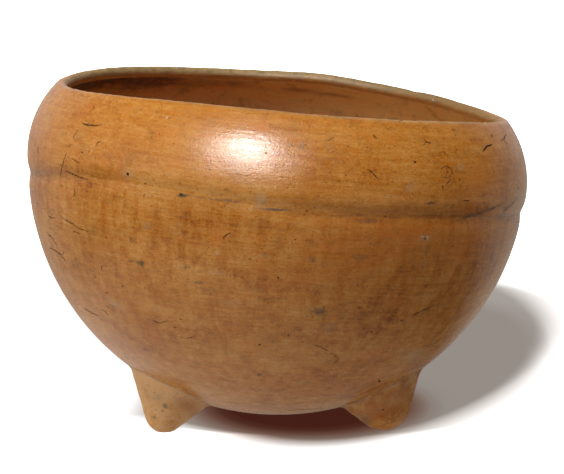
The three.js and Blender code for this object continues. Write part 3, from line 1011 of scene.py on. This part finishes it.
def smoothed_skin(name, shift, dusty):
    """A foot's skin: duller than the wall, rubbed pale on its flank, dusty where it stands, and darkened with
    painted shade at its root.
    """
    recipe = Recipe(name, fixed={"IOR": 1.5, "Specular IOR Level": 0.3})
    clouds = recipe.grain((9, 9, 9), detail=3)
    mottle = recipe.grain((3.6, 3.6, 3.6), detail=4, roughness=0.6)
    fine = recipe.grain((1.1, 1.1, 1.1), detail=3, roughness=0.6)
    grit = recipe.grain((0.8, 0.8, 0.8), detail=1)
    dust = recipe.grain((5, 5, 5), detail=5, roughness=0.7)
    specks = recipe.grain((1.1, 1.1, 0.8), detail=2).between(0.62, 0.7)
    chalk, smudge, blush, root, crease = recipe.shares("chalk", "smudge", "blush", "root", "crease")
    # The root darkens the clay as painted shade and also gathers dust; the crease darkens it as painted shade.
    depth = shift + swings((clouds, 0.9), (mottle, 1.0), (fine, 0.6), (grit, 0.6)) + root * 0.12
    dusted = (dust + root * 0.08).between(0.62 - dusty * 0.3, 0.72 - dusty * 0.2)
    clay = recipe.stained(
        recipe.node("ValToRGB", {"stops": CLAY_STOPS}, {"Fac": depth}),
        (dusted * (0.4 + dusty * 0.25), FOOT_DUST),
        ((blush * (mottle + 0.4)).clamped(0, 0.85), FOOT_BLUSH),
        ((chalk * (fine + mottle)).clamped(0, 0.8), GREY_SPECK),
        ((smudge * (fine + mottle)).clamped(0, 0.8), OLIVE_SMUDGE_AND_SHADE),
        ((root * mottle).clamped(0, 0.5 * dusty), FOOT_DUST),
        (specks * 0.45, OLIVE_SMUDGE_AND_SHADE),
        ((crease * (mottle * 1.6 - 0.3)).clamped(0, 0.45), GROOVE_GRIME_AND_CREASE_SHADE),
    )
    relief = recipe.relief(mottle * 0.12 + fine * 0.035)
    return recipe.finish(base_color=clay, roughness=0.55 + (mottle - 0.5) * 0.2, normal=relief)


# The feet's skins: how much deeper each one's tint is, and how dusty it is. The luting clay is
# a little deeper still, as painted shade where it lies between foot and belly.
FOOT_SKINS = {"left": (-0.14, 1.0), "right": (0.26, 0.3), "rear": (0.1, 0.5)}
LUTING_PAINTED_SHADE = 0.08
for node in WALL_NODES:
    pieces[node].data.materials.append(burnished_skin(f"burnished_{node}"))
for side, (shift, dusty) in FOOT_SKINS.items():
    skins = {
        f"foot_{side}": smoothed_skin(f"foot_{side}_skin", shift, dusty),
        f"luting_coil_{side}": smoothed_skin(f"luting_{side}_skin", shift + LUTING_PAINTED_SHADE, dusty),
    }
    for node, skin in skins.items():
        pieces[node].data.materials.append(skin)


# Fine cracks, pits and pale chips are small closed bodies let into the skin.
INLAY_PROUD = 0.04
CRACK_FULLNESS = 1.35
INLAY_DEPTH = 0.25
CRACK_STEP = 0.9
CRACK_WANDER = 0.42
CRACK_UNEVEN = (0.45, 1.25)
# A crack's section: how many half widths across, and how far out of the skin.
CRACK_SECTION = [(-1, INLAY_PROUD), (1, INLAY_PROUD), (0.4, -INLAY_DEPTH), (-0.4, -INLAY_DEPTH)]
SPOT_CORNERS = 12
SPOT_UNEVEN = (0.7, 1.2)
SPOT_SWELL = 1.5
chance = random.Random(11)


class Inlays:
    """Small closed bodies let into the skin, gathered into one mesh."""

    def __init__(self):
        self.points = []
        self.faces = []

    def crack(self, stations, half_width):
        """A cleft that tapers at both ends, along stations on the skin: each a place and its way out."""
        start, last = len(self.points), len(stations) - 1
        for number, (place, way_out) in enumerate(stations):
            along = stations[min(number + 1, last)][0] - stations[max(number - 1, 0)][0]
            side = way_out.cross(along).normalized()
            share = (number + 1) / (last + 2)
            half = half_width * CRACK_FULLNESS * math.sqrt(4 * share * (1 - share))
            half *= chance.uniform(*CRACK_UNEVEN)
            for across, out in CRACK_SECTION:
                self.points.append(place + side * half * across + way_out * out)
        for number in range(last):
            first = start + number * 4
            for corner in range(4):
                after = (corner + 1) % 4
                self.faces.append([first + corner, first + after, first + 4 + after, first + 4 + corner])
        end = start + last * 4
        self.faces += [[start, start + 3, start + 2, start + 1], [end, end + 1, end + 2, end + 3]]

    def spot(self, place, way_out, half_wide, half_high):
        """A small uneven lens at a place on the skin."""
        across = Vector((0, 0, 1)).cross(way_out).normalized()
        up = way_out.cross(across)
        start = len(self.points)
        for corner in range(SPOT_CORNERS):
            turn = 2 * math.pi * corner / SPOT_CORNERS
            uneven = chance.uniform(*SPOT_UNEVEN)
            offset = across * half_wide * math.cos(turn) + up * half_high * math.sin(turn)
            self.points.append(place + offset * uneven + way_out * INLAY_PROUD)
        self.points += [place + way_out * INLAY_PROUD * SPOT_SWELL, place - way_out * INLAY_DEPTH]
        top, bottom = start + SPOT_CORNERS, start + SPOT_CORNERS + 1
        for corner in range(SPOT_CORNERS):
            here, after = start + corner, start + (corner + 1) % SPOT_CORNERS
            self.faces += [[after, here, top], [here, after, bottom]]

    def put(self, name, material):
        mesh = make_mesh(name, [tuple(point) for point in self.points], self.faces)
        mesh.shade_flat()
        mesh.materials.append(material)
        return put(name, mesh)


def seen_path(*corners):
    """Stations on the skin along a line of pixels, with a waver."""
    pixels = list(zip(corners[::2], corners[1::2]))
    stations = []
    for (x, y), (next_x, next_y) in zip(pixels, pixels[1:]):
        steps = max(2, int(math.hypot(next_x - x, next_y - y) / CRACK_STEP))
        for step in range(steps):
            share = step / steps
            wander_x = chance.uniform(-CRACK_WANDER, CRACK_WANDER)
            wander_y = chance.uniform(-CRACK_WANDER, CRACK_WANDER)
            stations.append(seen_at(x + (next_x - x) * share + wander_x, y + (next_y - y) * share + wander_y))
    stations.append(seen_at(*pixels[-1]))
    return [station for station in stations if station[0]]


def strayed_path(heading, height, length, way):
    """Stations along a crack that strays over the skin from a place, towards a way in degrees."""
    stations = []
    for _ in range(max(4, int(length / STRAY_STEP))):
        stations.append(at_heading(heading, height))
        way += chance.gauss(0, STRAY_TURN)
        heading += math.degrees(STRAY_STEP * math.cos(math.radians(way)) / BELLY_RADIUS)
        height += STRAY_STEP * math.sin(math.radians(way))
    return [station for station in stations if station[0]]


def strayed(heading, height, spread_round, spread_up):
    """A place that strays from a heading and a height."""
    return heading + chance.gauss(0, spread_round), height + chance.gauss(0, spread_up)


# Cracks by the photograph's pixels: half width in millimetres, then x and y along each one.
CRACKS = [
    (0.2, 81.8, 123, 89, 125.4, 93.9, 125.7, 101.2, 125.1), (0.1, 90.6, 111.5, 94.5, 107),
    (0.12, 77.6, 129.7, 73.3, 137.5), (0.14, 70.3, 143.6, 69, 147.8),
    (0.15, 66.6, 152.7, 63, 163, 61.4, 170.9, 60, 176.3), (0.08, 66.6, 132.7, 66, 135.1),
    (0.12, 38.2, 147.8, 37.6, 153.9), (0.2, 80.6, 151.5, 83, 152.7), (0.12, 88.5, 152.7, 90, 149.7),
    (0.12, 96.3, 144.2, 100.6, 141.2), (0.13, 71.5, 158.1, 79.4, 163.6),
    (0.14, 64.8, 170.9, 74.5, 174.5, 80.6, 177.6, 87.9, 179.8), (0.12, 73.9, 195.8, 75.1, 188.5),
    (0.1, 73.6, 196.7, 74.6, 192.7), (0.15, 367.5, 168.5, 372, 172.5, 378.3, 179.3),
    (0.12, 373, 135.1, 376.6, 138.8), (0.08, 327, 141.2, 334.2, 137),
    (0.2, 424.2, 139.1, 426.1, 141.6, 430.6, 143.5), (0.12, 426.1, 141.6, 423.5, 145),
    (0.26, 482.9, 151.2, 485.4, 148, 488.6, 145.7, 491.8, 144.2),
    (0.14, 500.7, 140.6, 503.9, 139.3, 505.8, 134), (0.14, 503.9, 139.3, 506.7, 144.8),
    (0.08, 438.9, 153, 443, 151.5, 449, 157),
    (0.09, 440.5, 172.2, 442, 167.5, 446.5, 166, 451, 168.5, 452.5, 173, 449, 177.5, 444, 178, 440.8, 174.5),
    (0.09, 446.5, 166, 447.2, 172, 445, 178), (0.2, 442.4, 185.6, 442.7, 188.8),
    (0.12, 450.4, 178.6, 446.5, 184.4), (0.15, 463.8, 201, 469.5, 200.3),
    (0.14, 517.3, 185.6, 518.6, 188.8), (0.2, 518, 222, 520.5, 222.6),
    (0.14, 48.8, 216.8, 52.1, 218.1, 54.5, 217.4),
    (0.16, 60.2, 215.4, 64.2, 218.8, 70.9, 222.8, 77.6, 227.5, 88.3, 231.5),
    (0.12, 72.9, 230.8, 80.3, 234.2), (0.15, 46.8, 231.5, 52.1, 238.2, 57.2, 245.2),
    (0.18, 50.1, 247.6, 55.5, 250.9, 61.5, 254.9, 66.9, 263), (0.13, 63.5, 251.6, 62.8, 254.9),
    (0.13, 102.4, 265, 101, 270.3), (0.12, 105, 293.1, 108.4, 292.8),
    (0.15, 84.3, 308.5, 92.3, 313.2, 99, 315.9), (0.13, 101.7, 309.2, 109, 315.2),
    (0.12, 107, 306.5, 109.7, 308.5), (0.14, 153.2, 320.6, 159.9, 323.2, 168, 320.6),
    (0.14, 186, 329.3, 188.5, 330.6), (0.09, 179.3, 336.6, 185.4, 338.6, 195.4, 336),
    (0.22, 222.8, 238.2, 226, 235, 230.2, 232.8), (0.12, 314.5, 345, 319, 346.5, 322, 345.8),
    (0.13, 321, 347.5, 327.9, 350.5), (0.1, 325.5, 346.5, 328.5, 347),
    (0.1, 330.5, 353, 334.5, 355.5, 338, 358.7), (0.08, 336.5, 360.5, 332.5, 364.4),
    (0.2, 412.9, 315.7, 419.6, 311.7, 430.3, 307.7), (0.16, 377.5, 379.3, 380.8, 382),
    (0.12, 288.4, 410.7, 303.7, 409.4, 319, 408.8),
]
# Pits: x, y, half width and half height in pixels. Then the pale chips.
PITS = [
    (127.8, 173.9, 1.5, 1.7), (145.4, 183.6, 0.9, 0.9), (181.2, 194.5, 1.4, 1.0), (61.8, 185.5, 0.8, 0.8),
    (266.1, 153, 0.8, 0.9), (491.8, 135.9, 1.2, 1.5), (452.9, 129.5, 0.8, 0.8), (455.2, 135.3, 0.7, 0.8),
    (415, 162.3, 1.2, 1.0), (459.3, 179.3, 0.8, 0.8), (460.6, 186.3, 0.7, 0.8), (385.3, 216.3, 1.2, 0.6),
    (453.6, 204.8, 0.9, 0.6), (49.7, 228.8, 0.7, 0.9), (73.6, 265, 0.9, 0.9), (75.6, 259.6, 0.8, 0.8),
    (95.7, 277, 0.8, 0.8), (106.1, 237.5, 0.8, 0.9), (122.7, 286, 0.9, 0.8), (148.5, 319.6, 0.9, 0.7),
    (180.7, 319.2, 0.8, 0.8), (174.7, 327.3, 0.8, 0.8), (306.5, 210.8, 1.3, 0.9), (295, 239.5, 0.7, 0.7),
    (278.4, 277.7, 0.9, 0.9), (288.4, 335, 0.9, 0.9), (259.6, 344.7, 1.2, 0.9), (359.4, 307.8, 0.8, 0.8),
    (401.6, 320.4, 1.6, 0.6), (386.8, 328.8, 0.7, 0.7), (371.4, 331.8, 1.4, 0.6), (453, 246, 0.8, 0.8),
    (403.6, 371.3, 0.9, 0.8), (379.2, 381, 1.0, 1.2), (383, 409.7, 1.1, 0.9), (424.8, 238.6, 1.2, 0.8),
    (403, 376.5, 2.4, 0.8), (398.5, 379.5, 1.6, 0.6),
]
CHIPS = [
    (166.6, 117.6, 1.3, 1.2), (289.8, 242.9, 0.8, 0.8), (422.5, 236.4, 1.4, 1.0), (427.3, 237.6, 1.3, 1.2),
    (389.8, 421.2, 1.2, 1.0), (216.8, 253, 0.7, 0.7), (90, 71, 1.4, 0.8), (433.1, 99.5, 0.8, 1.8),
]
# Where the skin that the photograph doesn't show is cracked and pitted: heading, height, how many.
# Then how far the cracks and spots spread, in degrees round and millimetres up, a crack's step
# and its turn at each one, and the least and most of every size and way.
STRAY_PLACES = [
    (100, 96, 7), (126, 60, 6), (150, 112, 8), (178, 76, 8), (206, 108, 7), (228, 64, 8), (250, 100, 7),
]
CRACK_SPREAD = (9, 11)
SPOT_SPREAD = (12, 16)
STRAY_STEP = 0.4
STRAY_TURN = 14
STRAY_LENGTH = (1.5, 11)
STRAY_WAY = (-60, 240)
STRAY_HALF_WIDTH = (0.08, 0.18)
SPOT_HALF_WIDE = (0.25, 0.6)
SPOT_HALF_HIGH = (0.25, 0.5)
CRACK_UMBER = (0.028, 0.013, 0.007)
CHIP_BUFF = (0.55, 0.44, 0.32)


def let_in_cracks_and_chips():
    cracks, chips = Inlays(), Inlays()
    for half_width, *corners in CRACKS:
        cracks.crack(seen_path(*corners), half_width)
    for spots, inlays in ((PITS, cracks), (CHIPS, chips)):
        for x, y, half_wide, half_high in spots:
            inlays.spot(*seen_at(x, y), half_wide * PIXEL, half_high * PIXEL)
    for heading, height, count in STRAY_PLACES:
        for _ in range(count):
            start = strayed(heading, height, *CRACK_SPREAD)
            length = chance.uniform(*STRAY_LENGTH)
            path = strayed_path(*start, length, chance.uniform(*STRAY_WAY))
            cracks.crack(path, chance.uniform(*STRAY_HALF_WIDTH))
        for inlays, how_many in ((cracks, count), (chips, 1)):
            for _ in range(how_many):
                place = at_heading(*strayed(heading, height, *SPOT_SPREAD))
                half_wide = chance.uniform(*SPOT_HALF_WIDE)
                inlays.spot(*place, half_wide, chance.uniform(*SPOT_HALF_HIGH))
    dark = Recipe("dark_cracks", fixed={"Specular IOR Level": 0.1, "Roughness": 0.9})
    pale = Recipe("pale_chips", fixed={"Specular IOR Level": 0.2, "Roughness": 0.8})
    return [
        cracks.put("hairline_cracks", dark.finish(base_color=CRACK_UMBER)),
        chips.put("pale_chips", pale.finish(base_color=CHIP_BUFF)),
    ]


clay_parts = [*pieces.values(), *let_in_cracks_and_chips()]


def aimed(azimuth, elevation):
    """The way from the bowl towards a lamp. Azimuth runs from the front towards the right."""
    a, e = math.radians(azimuth), math.radians(elevation)
    return Vector((math.sin(a) * math.cos(e), -math.cos(a) * math.cos(e), math.sin(e)))


LAMPS_AIMED_AT = Vector((0, 0, 0.1))


def hang(name, kind, azimuth, elevation, distance, **settings):
    lamp = bpy.data.objects.new(name, bpy.data.lights.new(name, kind))
    for key, value in settings.items():
        setattr(lamp.data, key, value)
    way = aimed(azimuth, elevation)
    lamp.location = LAMPS_AIMED_AT + way * distance
    lamp.rotation_euler = way.to_track_quat("Z", "Y").to_euler()
    lamp.visible_camera = False
    bpy.context.collection.objects.link(lamp)
    return lamp


def shine_only_on(lamp, targets):
    """Lets a lamp light some pieces alone; every piece still shades the others from it."""
    lit = bpy.data.collections.new(f"{lamp.name}_lights")
    for target in targets:
        lit.objects.link(target)
    lamp.light_linking.receiver_collection = lit


# The floor, in metres: what it gives back to the clay, and what the camera sees. Its lamp
# stands close in front, so the seen floor is evened with the distance from that lamp; the shadow
# that the camera sees on it is painted. In the clay's gloss the floor glows with painted light,
# bright on the left in front, dimming with distance, less so behind the bowl, and dimmed by
# painted shade under the bowl.
FLOOR_REACH = 12.0
FLOOR_OWN = (0.82, 0.795, 0.77)
FLOOR_SEEN = (1.55, 1.53, 1.52)
FLOOR_PAINTED_SHADE = (0.3, 0.268, 0.24)
FLOOR_OPEN = (1.1, 1.1, 1.1)
FLOOR_EVENED_TO = 1.5
FLOOR_SEEN_EVENED_TO = 500
FLOOR_LAMP_PLACE = (0.036, -0.452, 0.316)
FLOOR_LAMP_AWAY = 0.86
FLOOR_PAINTED_IN_GLOSS = (0.9, 0.78, 0.67)
FLOOR_BRIGHT_PLACE = (-0.1, -0.07, 0)
FLOOR_BRIGHT_TO = 0.08
FLOOR_DIM_FROM = 0.21
LESS_DIM_BETWEEN = (0.0, 0.08)
LESS_DIM_BEHIND = 0.6
UNDER_BOWL_BETWEEN = (0.9, 1.7)
UNDER_BOWL_GLOSS = 0.55

# The painted contact shadow under the bowl: a dark oval, its tint by the share of the way to its
# edge, with a warm painted glow near its middle. Then the oval of the floor's painted shade, which
# is wider behind the bowl: within it the camera sees a set shade tone, and within its unwidened
# edge none of the floor lamp's light. Each oval is its centre to the right and back, its half sizes
# and its tilt.
PAINTED_SHADOW_OVAL = (0.0125, 0.03, 0.0545, 0.0748, 0)
PAINTED_SHADOW_EDGE = 1.25
PAINTED_SHADOW_TINTS = [
    (0.6, (0.04, 0.015, 0.01)),
    (0.7, (0.15, 0.07, 0.05)),
    (0.79, (0.38, 0.22, 0.17)),
    (0.88, (0.62, 0.48, 0.42)),
    (0.97, (0.86, 0.79, 0.77)),
    (1.08, (0.97, 0.965, 0.96)),
    (1.2, (1.0, 1.0, 1.0)),
]
PAINTED_SHADOW_GLOW = (0.045, 0.01, 0.006)
GLOW_BETWEEN = (0.5, 0.75)
PAINTED_SHADE_OVAL = (0.0484, 0.1167, 0.0634, 0.17, -14.15)
PAINTED_SHADE_EDGE = (0.93, 1.13)
SHADE_WIDENS_BETWEEN = (-0.03, 0.01)
SHADE_WIDER_BEHIND = 0.4
BLACK = (0, 0, 0)

# The room: how bright it is to the clay and in its gloss, and how much brighter the backdrop
# and the left wall are in that gloss, from the first share of the way to the second.
ROOM_AMBIENT = 0.06
ROOM_GLOSS = 0.04
BACKDROP_BETWEEN = (0.4, 1)
BACKDROP_GLOSS = 0.65
LEFT_WALL_BETWEEN = (0.35, 1)
LEFT_WALL_GLOSS = 0.42


def ray_kind(recipe, *kinds):
    """1 for rays of these kinds, 0 for others."""
    total = recipe.node("LightPath", {}, {}, f"Is {kinds[0]} Ray")
    for kind in kinds[1:]:
        total = total + recipe.node("LightPath", {}, {}, f"Is {kind} Ray")
    return total.clamped()


def from_oval(right, back, centre_right, centre_back, half_across, half_along, tilt):
    """The share of the way from an oval's centre to its edge. Tilt is in degrees."""
    cosine, sine = math.cos(math.radians(tilt)), math.sin(math.radians(tilt))
    right, back = right - centre_right, back - centre_back
    across = (right * cosine + back * sine) / half_across
    along = (back * cosine - right * sine) / half_along
    return (across * across + along * along) ** 0.5


def away_from(recipe, place):
    here = recipe.node("TexCoord", {}, {}, "Object")
    return recipe.node("VectorMath", {"operation": "DISTANCE"}, {0: here, 1: place}, "Value")


def make_floor():
    corners = [(x * FLOOR_REACH, y * FLOOR_REACH, 0) for x, y in ((-1, -1), (1, -1), (1, 1), (-1, 1))]
    mesh = bpy.data.meshes.new("floor")
    mesh.from_pydata(corners, [], [(0, 1, 2, 3)])
    floor = bpy.data.objects.new("floor", mesh)
    bpy.context.collection.objects.link(floor)
    floor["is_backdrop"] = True
    recipe = Recipe("pale_floor", fixed={"Roughness": 1.0, "Specular IOR Level": 0.0, "Emission Strength": 1.0})
    right, back = recipe.along("Object", "X"), recipe.along("Object", "Y")
    camera = ray_kind(recipe, "Camera", "Transmission")
    glossy = ray_kind(recipe, "Glossy")

    # Painted light and painted shade of the floor, seen only in the clay's gloss.
    less_dim = 1 - back.between(*LESS_DIM_BETWEEN) * LESS_DIM_BEHIND
    dimmed = away_from(recipe, FLOOR_BRIGHT_PLACE).between(FLOOR_BRIGHT_TO, FLOOR_DIM_FROM) * less_dim
    from_bowl = from_oval(right, back, *PAINTED_SHADOW_OVAL)
    painted_shade_under_bowl = from_bowl.between(*UNDER_BOWL_BETWEEN) * (1 - UNDER_BOWL_GLOSS) + UNDER_BOWL_GLOSS
    bright = (1 - dimmed * (1 - ROOM_GLOSS)) * painted_shade_under_bowl
    painted_in_gloss = recipe.mix(glossy, BLACK, recipe.mix(bright, BLACK, FLOOR_PAINTED_IN_GLOSS))

    # The painted contact shadow under the bowl, and the floor's painted shade, which the camera sees in place
    # of the lamp's own shadow.
    outwards = from_bowl / PAINTED_SHADOW_EDGE
    stops = [(share / PAINTED_SHADOW_EDGE, tint) for share, tint in PAINTED_SHADOW_TINTS]
    painted_shadow = recipe.node("ValToRGB", {"stops": stops}, {"Fac": outwards})
    from_shade = from_oval(right, back, *PAINTED_SHADE_OVAL)
    wider = back.between(*SHADE_WIDENS_BETWEEN) * SHADE_WIDER_BEHIND
    shade = recipe.mix((from_shade - wider).between(*PAINTED_SHADE_EDGE), FLOOR_PAINTED_SHADE, FLOOR_OPEN)
    painted_glow = recipe.mix(1 - outwards.between(*GLOW_BETWEEN), BLACK, PAINTED_SHADOW_GLOW)
    seen = recipe.mix(1, recipe.mix(1, shade, painted_shadow, "MULTIPLY"), painted_glow, "ADD")

    colour = recipe.mix(camera, FLOOR_OWN, recipe.mix(1, FLOOR_SEEN, painted_shadow, "MULTIPLY"))
    evened = (away_from(recipe, FLOOR_LAMP_PLACE) / FLOOR_LAMP_AWAY) ** 3
    evened = evened.clamped(0, camera * FLOOR_SEEN_EVENED_TO + FLOOR_EVENED_TO)
    # Within the painted shade's oval the camera is shown none of the floor lamp's light.
    lit = (1 - glossy) * (1 - camera * (1 - from_shade.between(*PAINTED_SHADE_EDGE)))
    colour = recipe.node("VectorMath", {"operation": "SCALE"}, {0: colour, "Scale": evened * lit})
    mesh.materials.append(recipe.finish(base_color=colour, emission_color=recipe.mix(camera, painted_in_gloss, seen)))
    return floor


def make_world():
    recipe = Recipe("studio", shader="Background", fixed={"Color": (1, 1, 1, 1)}, world=True)
    backdrop = recipe.along("Generated", "Y").between(*BACKDROP_BETWEEN)
    left_wall = (0 - recipe.along("Generated", "X")).between(*LEFT_WALL_BETWEEN)
    gloss = ROOM_GLOSS + backdrop * BACKDROP_GLOSS + left_wall * LEFT_WALL_GLOSS
    seen = ray_kind(recipe, "Camera", "Transmission")
    glossy = ray_kind(recipe, "Glossy")
    strength = seen + glossy * gloss + (1 - (seen + glossy)) * ROOM_AMBIENT
    bpy.context.scene.world = recipe.finish(strength=strength)


floor = make_floor()
make_world()
# The bowl is lit softly from above and from the left, and the floor by a lamp of its own,
# whose shadow falls back and to the right.
top_light = hang("top_light", "SUN", -18, 66, 1, energy=2.9, angle=math.radians(40))
side_light = hang("side_light", "SUN", -66, 8, 1, energy=1.3, angle=math.radians(40))
softbox = hang("softbox", "AREA", -13, 43.5, 1, energy=6.3, shape="ELLIPSE", size=0.13, size_y=0.22)
wide_softbox = hang("wide_softbox", "AREA", -13, 34, 1.02, energy=11, shape="ELLIPSE", size=0.5, size_y=0.65)
floor_lamp = hang("floor_lamp", "POINT", 0, 0, 1, energy=40, shadow_soft_size=0.017)
floor_lamp.location = FLOOR_LAMP_PLACE
for lamp in (top_light, side_light, softbox, wide_softbox):
    shine_only_on(lamp, clay_parts)
shine_only_on(floor_lamp, [floor])
for lamp in (top_light, side_light):
    lamp.visible_glossy = False
for lamp in (softbox, wide_softbox):
    lamp.visible_diffuse = False
bpy.context.scene.view_settings.view_transform = "Standard"

bpy.context.view_layer.update()
boxes = {"cad": cad_box, "visual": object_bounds()}
{key: [list(corner) for corner in box] for key, box in boxes.items()}
